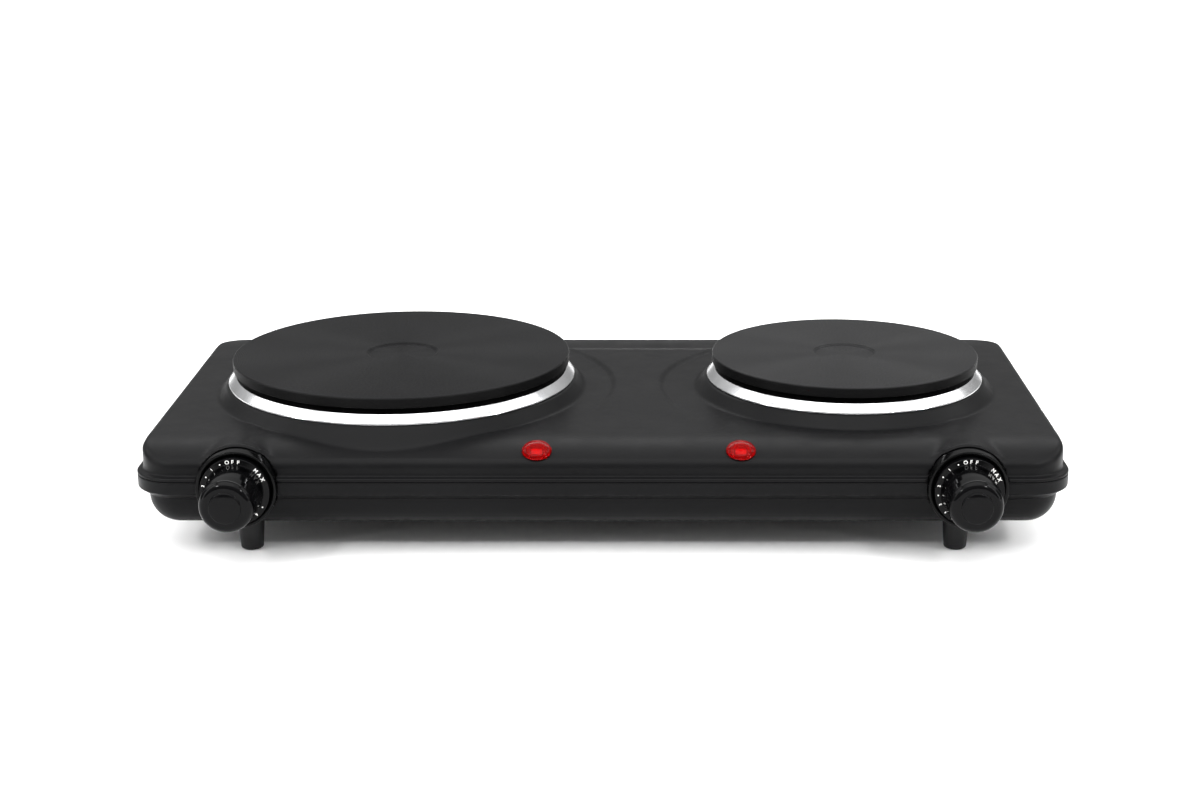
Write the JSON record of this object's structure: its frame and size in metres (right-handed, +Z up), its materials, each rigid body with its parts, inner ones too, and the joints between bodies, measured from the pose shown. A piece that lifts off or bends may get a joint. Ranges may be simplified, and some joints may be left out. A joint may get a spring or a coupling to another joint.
{
  "type": "electric hot plate burner",
  "caption": "Countertop electric hot plate: black steel body, a large and a small cast-iron plate in bright trim rings, front dial knobs and red indicator lamps.",
  "frame": {"origin": "centre of the overall bounding box, knobs included, at the level of the feet", "axes": "+X to the right along the body's length, +Y to the back, away from the knobs, +Z up"},
  "size_m": [0.478, 0.2628, 0.08],
  "materials": {
    "painted_steel": "satin black heat-resistant paint",
    "cast_iron": "machined, black heat-resistant coat",
    "bright_trim": "polished",
    "knob_gloss": "gloss",
    "bezel_satin": "satin",
    "lens_red": "translucent gloss",
    "lamp_glass": "clear",
    "foot_plastic": "satin",
    "pad_rubber": "matt",
    "ceramic": "unglazed",
    "shield_steel": "aluminised sheet",
    "steel": "zinc plated",
    "wire_sleeve": "woven glass-fibre sleeve",
    "brass": "plain"
  },
  "bodies": {
    "body": {"top_cover": "painted_steel", "base_pan": "painted_steel", "large_plate": "cast_iron", "small_plate": "cast_iron", "large_trim_ring": "bright_trim", "small_trim_ring": "bright_trim", "left_bezel": "bezel_satin", "right_bezel": "bezel_satin", "cord_gland": "bezel_satin", "left_lamp_lens": "lens_red", "right_lamp_lens": "lens_red", "left_lamp_bulb": "lamp_glass", "right_lamp_bulb": "lamp_glass", "front_left_foot": "foot_plastic", "front_right_foot": "foot_plastic", "rear_left_foot": "foot_plastic", "rear_right_foot": "foot_plastic", "front_left_foot_pad": "pad_rubber", "front_right_foot_pad": "pad_rubber", "rear_left_foot_pad": "pad_rubber", "rear_right_foot_pad": "pad_rubber", "large_heating_element": "ceramic", "small_heating_element": "ceramic", "large_terminal_block": "ceramic", "small_terminal_block": "ceramic", "left_thermostat": "ceramic", "right_thermostat": "ceramic", "mains_terminal_block": "ceramic", "large_heat_shield": "shield_steel", "small_heat_shield": "shield_steel", "large_element_cover": "shield_steel", "small_element_cover": "shield_steel", "large_clamp_bar": "steel", "small_clamp_bar": "steel", "large_clamp_stud": "steel", "small_clamp_stud": "steel", "large_clamp_nut": "steel", "small_clamp_nut": "steel", "left_thermostat_bracket": "steel", "right_thermostat_bracket": "steel", "front_left_foot_screw": "steel", "front_right_foot_screw": "steel", "rear_left_foot_screw": "steel", "rear_right_foot_screw": "steel", "left_cover_post": "steel", "right_cover_post": "steel", "left_cover_screw": "steel", "right_cover_screw": "steel", "large_plate_wire": "wire_sleeve", "small_plate_wire": "wire_sleeve", "left_supply_wire": "wire_sleeve", "right_supply_wire": "wire_sleeve", "earth_screw": "brass"},
    "left_control": {"left_knob": "knob_gloss", "left_thermostat_shaft": "steel"},
    "right_control": {"right_knob": "knob_gloss", "right_thermostat_shaft": "steel"}
  },
  "joints": [
    {"name": "left_knob_turn", "type": "hinge", "parent": "body", "child": "left_control", "pos_m": [-0.1843, -0.1058, 0.0404], "axis": [0, 1, 0], "range_deg": [0, 305]},
    {"name": "right_knob_turn", "type": "hinge", "parent": "body", "child": "right_control", "pos_m": [0.1843, -0.1058, 0.0404], "axis": [0, 1, 0], "range_deg": [0, 305]}
  ]
}
